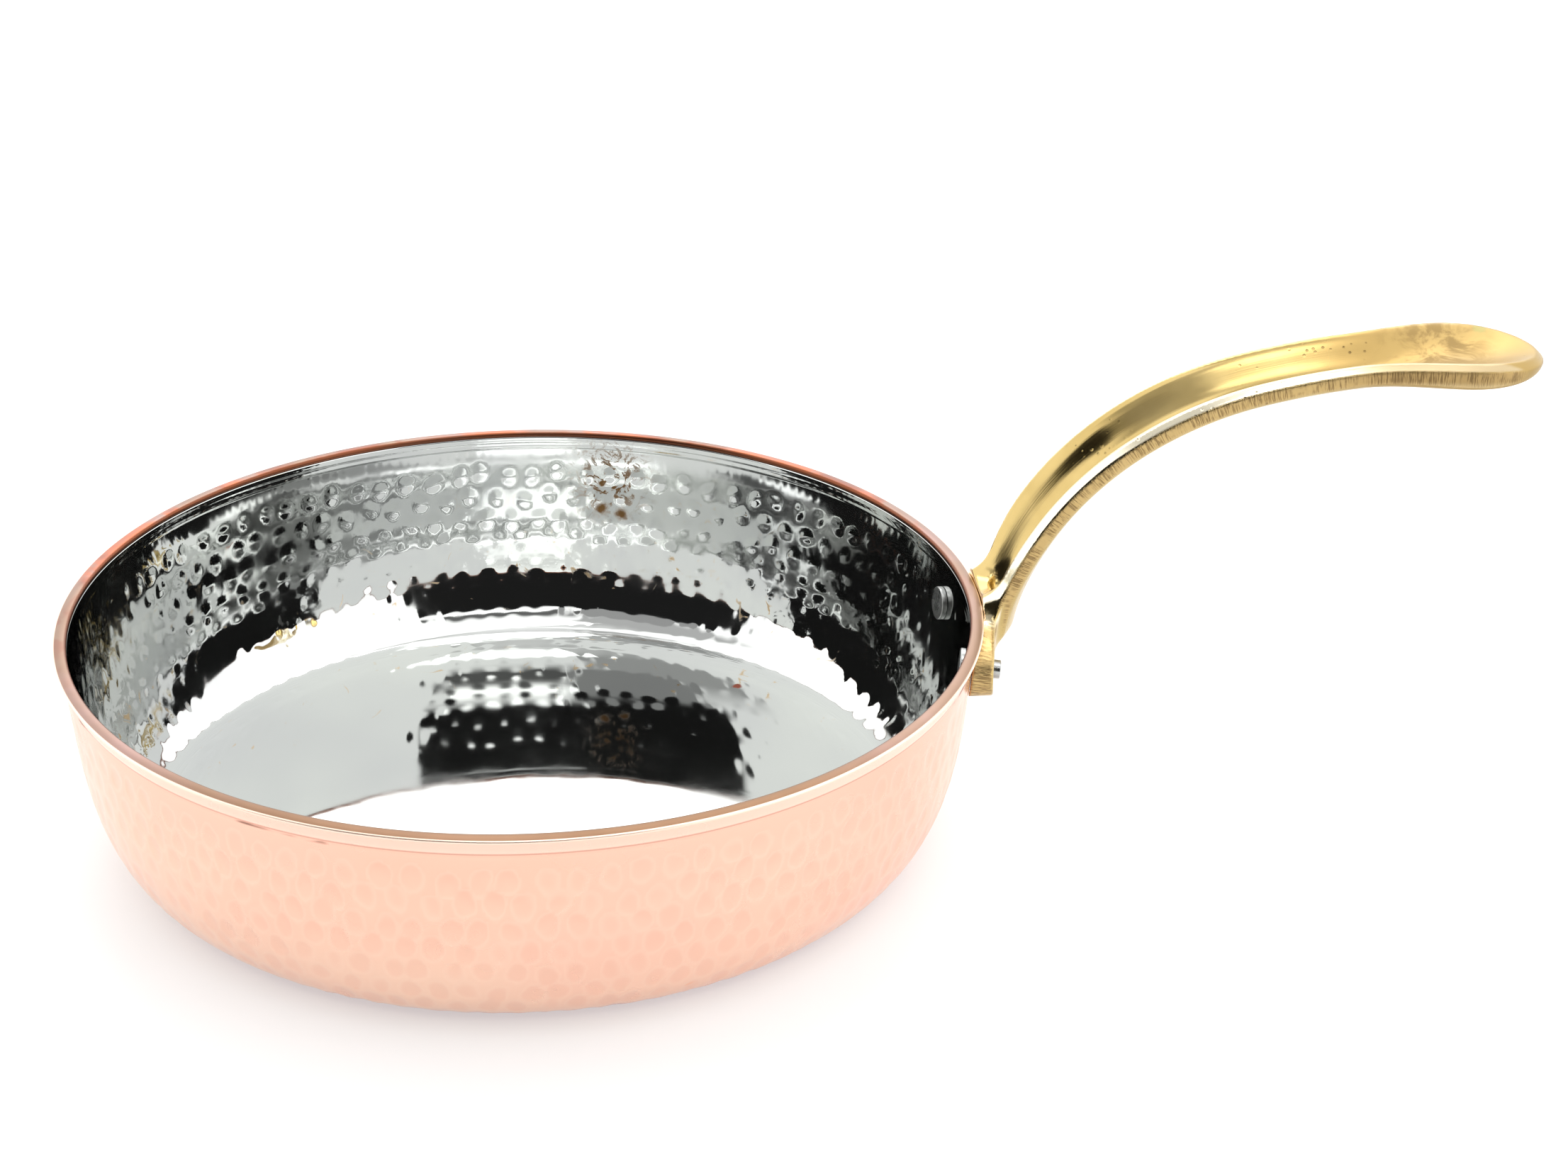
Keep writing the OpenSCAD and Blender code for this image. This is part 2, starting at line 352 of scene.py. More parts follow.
# ---------------------------------------------------------------- hammer marks
HAMMER_INPUTS = (
    ("Profile", "Object", None), ("Rows", "Int", MARK_ROWS), ("Marks per Row", "Int", MARKS_PER_ROW),
    ("First Row", "Float", 0.01), ("Row Pitch", "Float", 0.007), ("Mark Radius", "Float", 0.003),
    ("Mark Depth", "Float", 0.0002), ("Softness", "Float", 1.3), ("Scatter", "Float", 0.001),
    ("Tallness", "Float", 1.4), ("Waver", "Float", 0.001), ("Seed", "Int", 1), ("Finish", "Material", None))
SIDE_SCATTER = 130.0                          # marks that a metre of scatter moves a mark sideways
LEAST_FORCE, MOST_FORCE = 0.45, 1.3           # lightest and hardest blow
GUIDE_STEP = 0.2                              # spacing of points on the hammered line
ON_FACE = 0.3                                 # a point this near the line is on the hammered face


def mark_points(web, given, squash):
    """One point for each mark, placed along the profile and turned round the pan's axis."""
    per_row = given["Marks per Row"]
    points = web.node("GeometryNodeMeshLine", {"Count": web.times(given["Rows"], per_row)}).outputs[0]
    index = web.node("GeometryNodeInputIndex").outputs[0]
    row = web.math("FLOOR", web.math("DIVIDE", web.plus(index, 0.5), per_row))
    column = web.minus(index, web.times(row, per_row))

    def chance(offset):
        """From -1 to 1, another for each mark."""
        seed = web.plus(given["Seed"], offset)
        return web.node("FunctionNodeRandomValue", {2: -1.0, 3: 1.0, "ID": index, "Seed": seed},
                        data_type="FLOAT").outputs[1]

    along = web.math("MULTIPLY_ADD", row, given["Row Pitch"], given["First Row"])
    along = web.plus(along, web.times(chance(0), given["Scatter"]))
    stagger = web.times(row, 0.5)
    shift = web.times(chance(10), web.times(given["Scatter"], SIDE_SCATTER))
    turn = web.plus(web.plus(column, stagger), shift)
    angle = web.times(web.math("DIVIDE", turn, per_row), 2 * math.pi)
    curve = web.node("GeometryNodeObjectInfo", {"Object": given["Profile"]}).outputs["Geometry"]
    sampled = web.node("GeometryNodeSampleCurve", {"Curves": curve, "Length": along},
                       mode="LENGTH", use_all_curves=True).outputs["Position"]
    spot = web.vector("MULTIPLY", web.turned(sampled, angle), squash)
    return web.node("GeometryNodeSetPosition", {"Geometry": points, "Position": spot}).outputs[0]


def hammer_tree():
    """Node tree that presses rows of staggered hammer marks into a shell along its normals."""
    tree, web, given = new_tree("hammer_marks", "Shell", HAMMER_INPUTS)
    squash = web.join(1.0, 1.0, web.math("DIVIDE", 1.0, given["Tallness"]))
    marks = mark_points(web, given, squash)

    # Depth at each point of the shell from its distance to the nearest mark, in squashed height
    place = web.node("GeometryNodeInputPosition").outputs[0]
    waver = web.node("ShaderNodeTexNoise", {"Vector": place, "Scale": 170.0, "Detail": 1.0}).outputs["Color"]
    waver = web.scaled(web.vector("SUBTRACT", waver, (0.5, 0.5, 0.5)), given["Waver"])
    swayed = web.vector("MULTIPLY", web.vector("ADD", place, waver), squash)
    near = web.node("GeometryNodeProximity", {0: marks, "Sample Position": swayed}, target_element="POINTS")
    reach = web.math("DIVIDE", near.outputs["Distance"], given["Mark Radius"])
    bowl = web.minus(1.0, web.times(reach, reach), clamp=True)
    bowl = web.math("POWER", bowl, given["Softness"])
    hammered = web.node("GeometryNodeInputNamedAttribute", {"Name": "hammered"}, data_type="FLOAT").outputs[0]
    force = web.ramp(web.noise(place, 90.0, 1.0), 0.3, 0.7, LEAST_FORCE, MOST_FORCE)
    mark = web.times(bowl, hammered, force)
    normal = web.node("GeometryNodeInputNormal").outputs[0]
    push = web.scaled(normal, web.times(mark, given["Mark Depth"], -1.0))
    stored = web.node("GeometryNodeStoreNamedAttribute",
                      {"Geometry": given["Shell"], "Name": "mark", "Value": mark},
                      data_type="FLOAT", domain="POINT").outputs[0]
    shell = web.node("GeometryNodeSetPosition", {"Geometry": stored, "Offset": push}).outputs[0]
    close_tree(web, shell, given["Finish"])
    return tree


def profile_object(name, line):
    """A curve that the hammer marks are measured along, from the lip downwards."""
    curve = bpy.data.curves.new(name, "CURVE")
    curve.dimensions = "3D"
    spline = curve.splines.new("POLY")
    spline.points.add(len(line) - 1)
    for point, (r, z) in zip(spline.points, line):
        point.co = (r * MM, 0, z * MM, 1)
    made = bpy.data.objects.new(name, curve)
    bpy.context.scene.collection.objects.link(made)
    return made


def apply_tree(piece, tree, values):
    """Runs a node tree on a piece with named inputs and keeps the result as a plain mesh."""
    sockets = {s.name: s.identifier for s in tree.interface.items_tree
               if s.item_type == "SOCKET" and s.in_out == "INPUT"}
    modifier = piece.modifiers.new(tree.name, "NODES")
    modifier.node_group = tree
    for name, value in values.items():
        modifier[sockets[name]] = value
    graph = bpy.context.evaluated_depsgraph_get()
    mesh = bpy.data.meshes.new_from_object(piece.evaluated_get(graph), depsgraph=graph)
    piece.modifiers.clear()
    old = piece.data
    piece.data = mesh
    mesh.name = piece.name
    bpy.data.meshes.remove(old)
    mesh.shade_smooth()
    return piece


def hammered_shell(name, profile, hammered_line, inside, values):
    """Spins a profile and hammers the side of it that shows."""
    piece = spin(name, profile, AROUND)
    co = np.array([v.co for v in piece.data.vertices]) / MM
    radius, z = np.hypot(co[:, 0], co[:, 1]), co[:, 2]
    ring, member = np.unique(np.round(np.stack([radius, z], 1), 3), axis=0, return_inverse=True)
    near = resample(hammered_line, GUIDE_STEP)
    gap = np.hypot(ring[:, None, 0] - near[:, 0], ring[:, None, 1] - near[:, 1])
    gap = np.min(gap, axis=1)[member.ravel()]
    lip_edge = smooth(PAN_H - MARKS_FROM, PAN_H - MARKS_FULL, z)
    foot_from, foot_full = INNER_FOOT if inside else OUTER_FOOT
    foot = smooth(foot_from, foot_full, radius)
    paint(piece.data, "hammered", (gap < ON_FACE) * lip_edge * foot)
    guide = profile_object(name + "_guide", hammered_line[::-1])
    apply_tree(piece, hammer_tree(), {"Profile": guide, **values})
    curve = guide.data
    bpy.data.objects.remove(guide)
    bpy.data.curves.remove(curve)
    return piece


# ---------------------------------------------------------------- the brass casting
# Offsets from the rim of the handle's centre line, at the height of its edges.
JOIN = np.array([70.0, 60.0])
JOIN_WAY = np.array([36.0, 8.0])
STEM_CURVE = [(0.5, -9), (6, 26), JOIN - JOIN_WAY, JOIN]
REST_CURVE = [JOIN, JOIN + JOIN_WAY * 2 / 3, (123, 67), (147, 62.5)]
STEM_W, REST_W = 27.0, 34.4                   # widths of the stem and of the thumb rest
REST_FROM, REST_FULL = 95, 125                # where the stem widens, beyond the rim
ROOT_RISE = 22                                # height above the rim where the root reaches full width
CHANNEL_D, REST_DIP = 6.8, -2.4               # depth of the channel, and how much more in the rest
BEVEL_W, BEVEL_H = 2.2, 1.5                   # width and drop of the bevel at the edges
SIDE_H, REST_SIDE = 4.8, 1.2                  # height of the edges, and how much more in the rest
BELLY = 4.2                                   # how far the underside bulges below the edges
WALL_AT_RIVET = WALL_R - TAPER * (WALL_TOP_Z - RIVET_Z)
FLANGE_R = WALL_AT_RIVET + FLANGE_T + 1.2
FLANGE_DEEP = 8                               # from the flange's face back into the pan's wall
FILLET = 7.0                                  # how widely the stem runs into the flange
EDGE_SOFT, BELLY_SOFT, ROOT_SOFT = 0.5, 1.2, 3.0
FLANGE_SOFT, SEAT_SOFT = 0.7, 0.3             # rounding of the flange's edges
TOP_SLOPE = 1.15                              # keeps the channel's field near true distance
BATCH = 20000                                 # points measured against the centre line at once
CELL = 0.55                                   # grid step of the casting's surface
GRID_START = (2.13, 2, 2.13)                  # how far before the casting the grid starts


def handle_stations():
    """Points, directions and running length along the handle, with its sizes at each."""
    stem, stem_way = bezier(STEM_CURVE, np.linspace(0, 1, 260)[:-1])
    rest, rest_way = bezier(REST_CURVE, np.linspace(0, 1, 220))
    at = np.concatenate([stem, rest])
    way = np.concatenate([stem_way, rest_way])
    place = np.stack([RIM_R + REACH * at[:, 0], PAN_H + at[:, 1]], 1)
    run = np.concatenate([[0], np.cumsum(np.linalg.norm(np.diff(place, axis=0), axis=1))])
    widen = smooth(REST_FROM, REST_FULL, at[:, 0])
    width = mix(STEM_W, REST_W, widen) / 2 * mix(0.73, 1, smooth(-9, ROOT_RISE, at[:, 1]))
    return {"at": place, "way": way, "run": run, "widen": widen, "width": width,
            "tip_from": np.interp(REST_FULL, at[:, 0], run)}


STATIONS = handle_stations()


def soft_min(a, b, k):
    h = np.clip(k - np.abs(a - b), 0, None) / k
    return np.minimum(a, b) - h * h * k / 4


def soft_max(a, b, k):
    return -soft_min(-a, -b, k)


def along_handle(x, z):
    """Running length and height above the centre line for points of the XZ plane."""
    at, way, run = STATIONS["at"], STATIONS["way"], STATIONS["run"]
    flat = np.stack([np.ravel(x), np.ravel(z)], 1)
    length, up = np.empty(len(flat)), np.empty(len(flat))
    for start in range(0, len(flat), BATCH):
        part = slice(start, start + BATCH)
        p = flat[part]
        gap = (p[:, None, 0] - at[None, :, 0]) ** 2 + (p[:, None, 1] - at[None, :, 1]) ** 2
        near = np.argmin(gap, axis=1)
        off = p - at[near]
        length[part] = run[near] + np.sum(off * way[near], 1)
        up[part] = off[:, 1] * way[near, 0] - off[:, 0] * way[near, 1]
    return length.reshape(np.shape(x)), up.reshape(np.shape(x))


def stem_field(length, up, y):
    """Below nought inside the stem and thumb rest."""
    run, start = STATIONS["run"], STATIONS["tip_from"]
    width = np.interp(length, run, STATIONS["width"])
    widen = np.interp(length, run, STATIONS["widen"])
    slope = np.interp(length, run, np.gradient(STATIONS["width"], run))
    tip_l = run[-1] - start
    tip_w = REST_W / 2
    past = np.clip(length - start, 0, None)
    across = np.abs(y)
    k0 = np.hypot(past / tip_l, across / tip_w)
    k1 = np.maximum(np.hypot(past / tip_l ** 2, across / tip_w ** 2), 1e-4)
    outline = np.where(past > 0, k0 * (k0 - 1) / k1, (across - width) / np.sqrt(1 + slope ** 2))
    full = np.sqrt(np.clip(1 - (past / tip_l) ** 2, 0, 1))
    inner = np.where(past > 0, np.hypot(past / (tip_l - BEVEL_W), across / (tip_w - BEVEL_W)),
                     across / (width - BEVEL_W))
    hollow = np.clip(1 - inner ** 2, 0, None) ** mix(2.0, 1.4, widen) - 2 * np.clip(inner ** 2 - 1, 0, None)
    dish = -(CHANNEL_D + REST_DIP * widen) * mix(0.45, 1, smooth(2, 16, length)) * hollow
    bevel = -(outline + BEVEL_W) * BEVEL_H / BEVEL_W
    top = (up - soft_min(dish, bevel, EDGE_SOFT)) / TOP_SLOPE
    side_h = (SIDE_H + REST_SIDE * widen) * mix(0.25, 1, full)
    crown = np.clip(1 - np.where(past > 0, k0, across / width) ** 2, 0, 1)
    bottom = -side_h - BELLY * mix(0.4, 1, full) * crown - up
    body = soft_max(soft_max(top, outline, EDGE_SOFT), bottom, BELLY_SOFT)
    return soft_max(body, -length, ROOT_SOFT)


def flange_outline():
    """The flange's outline across and up, from the middle of its top edge all the way round."""
    lobe_y = FLANGE_R * math.sin(LOBE_AZ)
    top = np.array([lobe_y, RIVET_Z + LOBE_R])
    shoulder = np.array([STEM_W / 2 - 3, PAN_H + 0.5])
    pull = np.array([shoulder[0] + 3.5, top[1] + 1.5])
    t = np.linspace(0, 1, 9)[:, None]
    half = np.concatenate([
        (1 - t) ** 2 * shoulder + 2 * t * (1 - t) * pull + t * t * top,
        arc((lobe_y, RIVET_Z), LOBE_R, 75, -90, 22),
        [(lobe_y * 0.5, RIVET_Z - LOBE_R + 1), (0, RIVET_Z - LOBE_R + 1.5)]])
    return np.concatenate([half, half[::-1] * [-1, 1]])


def outline_distance(y, z, outline):
    """Distance to a closed outline, below nought inside it."""
    flat = np.stack([np.ravel(y), np.ravel(z)], 1)
    best = np.full(len(flat), 1e9)
    inside = np.zeros(len(flat), bool)
    for a, b in zip(outline, np.roll(outline, -1, axis=0)):
        edge = b - a
        if np.dot(edge, edge) < 1e-9:
            continue
        t = np.clip((flat - a) @ edge / np.dot(edge, edge), 0, 1)
        best = np.minimum(best, np.linalg.norm(flat - a - t[:, None] * edge, axis=1))
        if a[1] != b[1]:
            crosses = (a[1] > flat[:, 1]) != (b[1] > flat[:, 1])
            inside ^= crosses & (flat[:, 0] < a[0] + (flat[:, 1] - a[1]) / (b[1] - a[1]) * edge[0])
    return np.where(inside, -best, best).reshape(np.shape(y))


def seat_radius(z):
    """The pan's outside, grown a little, that the flange is filed to fit."""
    grown = WALL_R + 0.1
    lip_z = WALL_TOP_Z - 0.4
    return np.interp(z, [0, lip_z, lip_z + 0.8, 200],
                     [grown - TAPER * WALL_TOP_Z, grown - TAPER * (WALL_TOP_Z - lip_z),
                      RIM_R + 0.1, RIM_R + 0.1])


def casting_field(x, y, z, stem, outline):
    """Below nought inside the whole casting."""
    rho = np.hypot(x, y)
    plate = soft_max(outline, rho - FLANGE_R, FLANGE_SOFT)
    plate = soft_max(plate, FLANGE_R - FLANGE_DEEP - rho, EDGE_SOFT)
    whole = soft_min(stem, plate, FILLET)
    return soft_max(whole, seat_radius(z) - rho, SEAT_SOFT)


def surface_net(field, low, step):
    """Points and quads of the surface where a field sampled on a grid changes sign."""
    inside = field < 0
    nx, ny, nz = field.shape
    corner = [(i, j, k) for i in (0, 1) for j in (0, 1) for k in (0, 1)]
    total = sum(inside[i:nx - 1 + i, j:ny - 1 + j, k:nz - 1 + k].astype(np.int8) for i, j, k in corner)
    cells = np.argwhere((total > 0) & (total < 8))
    number = np.full((nx - 1, ny - 1, nz - 1), -1, np.int32)
    number[tuple(cells.T)] = np.arange(len(cells))
    value = {c: field[cells[:, 0] + c[0], cells[:, 1] + c[1], cells[:, 2] + c[2]] for c in corner}
    place, count = np.zeros((len(cells), 3)), np.zeros(len(cells))
    for a in corner:
        for axis in range(3):
            if a[axis]:
                continue
            b = tuple(1 if n == axis else a[n] for n in range(3))
            cut = (value[a] < 0) != (value[b] < 0)
            t = np.where(cut, value[a] / np.where(cut, value[a] - value[b], 1), 0)
            point = np.tile(np.array(a, float), (len(cells), 1))
            point[:, axis] += t
            place += point * cut[:, None]
            count += cut
    points = np.array(low) + (cells + place / count[:, None]) * step
    quads = []
    for axis in range(3):
        u, v = [n for n in range(3) if n != axis]
        ahead = np.roll(inside, -1, axis)
        edges = np.argwhere(inside != ahead)
        edges = edges[edges[:, axis] < field.shape[axis] - 1]
        ring = []
        for du, dv in ((-1, -1), (0, -1), (0, 0), (-1, 0)):
            cell = edges.copy()
            cell[:, u] += du
            cell[:, v] += dv
            ring.append(number[tuple(cell.T)])
        ring = np.stack(ring, 1)
        out = inside[tuple(edges.T)]
        turn = out if axis != 1 else ~out
        quads.append(np.where(turn[:, None], ring, ring[:, ::-1]))
    return points, np.concatenate(quads)


def make_handle():
    """The casting's surface, found on a grid and then drawn exactly onto its formula."""
    outline = flange_outline()
    low = np.array([HANDLE[0].x, HANDLE[0].y, HANDLE[0].z]) / MM - GRID_START
    high = np.array([HANDLE[1].x, HANDLE[1].y, HANDLE[1].z]) / MM + 2
    x, y, z = [np.arange(a, b, CELL) for a, b in zip(low, high)]
    gx, gz = np.meshgrid(x, z, indexing="ij")
    length, up = along_handle(gx, gz)
    gy, hz = np.meshgrid(y, z, indexing="ij")
    edge = outline_distance(gy, hz, outline)
    field = np.empty((len(x), len(y), len(z)), np.float32)
    for n, across in enumerate(y):
        stem = stem_field(length, up, np.full_like(gx, across))
        field[:, n, :] = casting_field(gx, across, gz, stem, edge[n][None, :])
    points, quads = surface_net(field, low, CELL)

    def exact(p):
        run, above = along_handle(p[:, 0], p[:, 2])
        stem = stem_field(run, above, p[:, 1])
        return casting_field(p[:, 0], p[:, 1], p[:, 2], stem, outline_distance(p[:, 1], p[:, 2], outline))

    reach = 0.05
    for _ in range(3):
        here = exact(points)
        slope = np.stack([(exact(points + np.eye(3)[n] * reach) - here) / reach for n in range(3)], 1)
        step = here[:, None] * slope / np.maximum(np.sum(slope ** 2, 1), 0.1)[:, None]
        far = np.linalg.norm(step, axis=1)[:, None]
        points = points - step * np.minimum(1, 0.5 * CELL / np.maximum(far, 1e-9))
    handle = mesh_piece("handle", points, quads)
    run, above = along_handle(points[:, 0], points[:, 2])
    normal = slope / np.maximum(np.linalg.norm(slope, axis=1), 1e-6)[:, None]
    rho = np.hypot(points[:, 0], points[:, 1])
    in_flange = smooth(FLANGE_R + 2.5, FLANGE_R + 0.4, rho) * smooth(PAN_H - 2.5, PAN_H - 5, points[:, 2])
    side = smooth(0.8, 0.95, np.abs(normal[:, 1])) * smooth(-0.6, -1.4, above) * (1 - in_flange)
    radial = (normal[:, 0] * points[:, 0] + normal[:, 1] * points[:, 1]) / rho
    edge = smooth(0.75, 0.5, np.abs(radial)) * in_flange
    paint(handle.data, "filed", np.clip(side + edge, 0, 1))
    across = np.abs(points[:, 1]) / np.maximum(np.interp(run, STATIONS["run"], STATIONS["width"]), 1)
    # The bevel mask, which the brass finish paints near white as a highlight
    bevel = smooth(0.79, 0.85, across) * smooth(-2.6, -1.6, above) * smooth(0.85, 0.6, np.abs(normal[:, 1]))
    paint(handle.data, "bevel", bevel * (1 - in_flange))
    paint(handle.data, "run", run * MM)
    paint(handle.data, "above", above * MM)
    under = smooth(-0.2, -0.5, normal[:, 0] * -np.interp(run, STATIONS["run"], STATIONS["way"][:, 1])
                   + normal[:, 2] * np.interp(run, STATIONS["run"], STATIONS["way"][:, 0]))
    paint(handle.data, "under", under * (1 - in_flange))
    return handle


# ---------------------------------------------------------------- the rivets
HEAD_D, HEAD_T, SHANK_D, TAIL_L = 9.0, 1.4, 5.0, 2.0
HEAD_GAP = 0.1                                # between the head and the lining
RING_PITCH, RING_D = 0.8, 0.035               # turned rings on the head's face


def rivet_profile():
    """From the middle of the head's face round to the middle of the shank's end."""
    head, shank = HEAD_D / 2, SHANK_D / 2
    end = FULL_T + FLANGE_T + 0.9 + TAIL_L
    face = -HEAD_GAP - HEAD_T
    rings = [(r, face + RING_D * (1 + math.cos(2 * math.pi * r / RING_PITCH)))
             for r in np.arange(0.4, head - 0.5, 0.2)]
    return np.array([
        (0, face + 0.06), *rings, *arc((head - 0.35, face + 0.35), 0.35, -90, 0, 5),
        *arc((head - 0.15, -HEAD_GAP - 0.15), 0.15, 0, 90, 3), (shank + 0.2, -HEAD_GAP),
        (shank, -HEAD_GAP + 0.2), (shank, end * 0.5), (shank, end - 0.3),
        *arc((shank - 0.25, end - 0.25), 0.25, 0, 90, 4), (shank * 0.55, end - 0.03),
        (shank * 0.3, end - 0.09), (0, end - 0.1)])


def rivet_tree():
    """Node tree that sets one rivet at each side of the handle, square to the wall."""
    sizes = [(name, "Float", None) for name in ("Side Angle", "Wall Radius", "Height", "Lean", "Depth")]
    tree, web, given = new_tree("rivet_pair", "Rivet", [*sizes, ("Finish", "Material", None)])
    points = web.node("GeometryNodeMeshLine", {"Count": 2}).outputs[0]
    index = web.node("GeometryNodeInputIndex").outputs[0]
    angle = web.times(web.minus(web.times(index, 2.0), 1.0), given["Side Angle"])
    seat = web.turned(web.join(x=given["Wall Radius"], z=given["Height"]), angle)
    points = web.node("GeometryNodeSetPosition", {"Geometry": points, "Position": seat}).outputs[0]
    sunk = web.join(z=web.times(given["Depth"], -1.0))
    rivet = web.node("GeometryNodeTransform", {"Geometry": given["Rivet"], "Translation": sunk}).outputs[0]
    turn = web.join(y=web.plus(given["Lean"], math.pi / 2), z=angle)
    turn = web.node("FunctionNodeEulerToRotation", {0: turn}).outputs[0]
    pair = web.node("GeometryNodeInstanceOnPoints",
                    {"Points": points, "Instance": rivet, "Rotation": turn}).outputs[0]
    close_tree(web, pair, given["Finish"])
    return tree


# ---------------------------------------------------------------- materials
# Places of single marks, in metres
STAIN_AT = (0.030, 0.111, 0.046)
BLOBS_AT = ((0.0274, 0.1117, 0.0371), (0.0331, 0.1101, 0.0357))
RED_SPOT_AT = (0.0624, 0.0615, 0.0019)
DULL_REST_AT = (0.240, 0.006, 0.120)
GREEN_SPOT_AT = (0.2535, 0.0125, 0.1225)


def metal(name):
    """A new metal material: its node web, its shader and the object's own coordinates."""
    made = bpy.data.materials.new(name)
    made.use_nodes = True
    made.node_tree.nodes.clear()
    web = Web(made.node_tree)
    shader = web.node("ShaderNodeBsdfPrincipled", {"Metallic": 1.0})
    web.node("ShaderNodeOutputMaterial", {"Surface": shader.outputs[0]})
    return made, web, shader, web.node("ShaderNodeTexCoord").outputs["Object"]


def attribute(web, name):
    return web.node("ShaderNodeAttribute", attribute_name=name).outputs["Fac"]


def bump(web, shader, *layers):
    """Stacks bump layers, each (height, distance in metres, strength)."""
    normal = None
    for height, distance, strength in layers:
        made = web.node("ShaderNodeBump", {"Height": height, "Distance": distance, "Strength": strength})
        if normal is not None:
            web.set(made.inputs["Normal"], normal)
        normal = made.outputs[0]
    web.set(shader.inputs["Normal"], normal)


def cylinder_coordinates(web, place):
    """Distance from the pan's axis, height and angle from +X."""
    split = web.split(place)
    square = web.plus(web.times(split[0], split[0]), web.times(split[1], split[1]))
    return web.math("SQRT", square), split[2], web.math("ARCTAN2", split[1], split[0])


def stretched(web, place, x, y, z):
    return web.node("ShaderNodeMapping", {"Vector": place, "Scale": (x, y, z)}).outputs[0]


def hammered_copper(web, place, height):
    """Colour of the hammered wall, brightest low down: the paler colour low down is painted light, standing
    in for the bright floor that the low wall reflects.
    """
    salmon = web.blend(web.ramp(height, 0.014, 0.050), (0.965, 0.665, 0.515), (0.95, 0.545, 0.415))
    warm = web.ramp(web.noise(place, 14.0, 4.0), 0.35, 0.7, 0.0, 0.6)
    colour = web.blend(warm, salmon, (0.94, 0.56, 0.44))
    # Painted highlight and shade: each hammer mark is painted paler round its edge and deeper pink in its
    # hollow, standing in for how the marks catch the light
    mark = attribute(web, "mark")
    painted_brim_highlight = web.times(web.ramp(mark, 0.0, 0.12), web.ramp(mark, 0.5, 0.16))
    clear = web.ramp(height, 0.052, 0.016, 0.75, 1.0)
    colour = web.blend(web.times(painted_brim_highlight, web.times(clear, 0.22)), colour, (0.985, 0.72, 0.58))
    hollow = web.times(web.ramp(mark, 0.02, 0.7), web.times(clear, 0.26))
    colour = web.blend(hollow, colour, (0.90, 0.51, 0.39))
    # Orange specks left by handling, low on the wall
    speck = web.ramp(web.noise(stretched(web, place, 1, 1, 2.2), 70.0, 2.0, 0.6), 0.69, 0.76)
    low = web.ramp(height, 0.030, 0.012)
    return web.blend(web.times(speck, web.times(low, 0.6)), colour, (0.93, 0.42, 0.20))


def lip_colour(web, place, angle):
    """Dull pink and tan, heat-tinted red and brown on the far side, brown on the near side."""
    tint = web.noise(stretched(web, place, 1, 1, 0.3), 22.0, 4.0, 0.6)
    lip = web.blend(web.ramp(tint, 0.40, 0.60), (0.27, 0.165, 0.145), (0.23, 0.14, 0.095))
    patchy = web.ramp(web.noise(stretched(web, place, 1, 1, 0.3), 36.0, 3.0, 0.6, 1.0), 0.42, 0.55)
    back = web.ramp(web.math("SINE", web.plus(angle, -0.15)), -0.25, 0.35)
    fired = web.blend(web.ramp(tint, 0.45, 0.55), (0.42, 0.11, 0.045), (0.20, 0.055, 0.03))
    lip = web.blend(web.times(patchy, back), lip, fired)
    front = web.ramp(web.math("SINE", angle), -0.55, -0.88)
    return web.blend(web.times(front, 0.9), lip, (0.125, 0.058, 0.02))


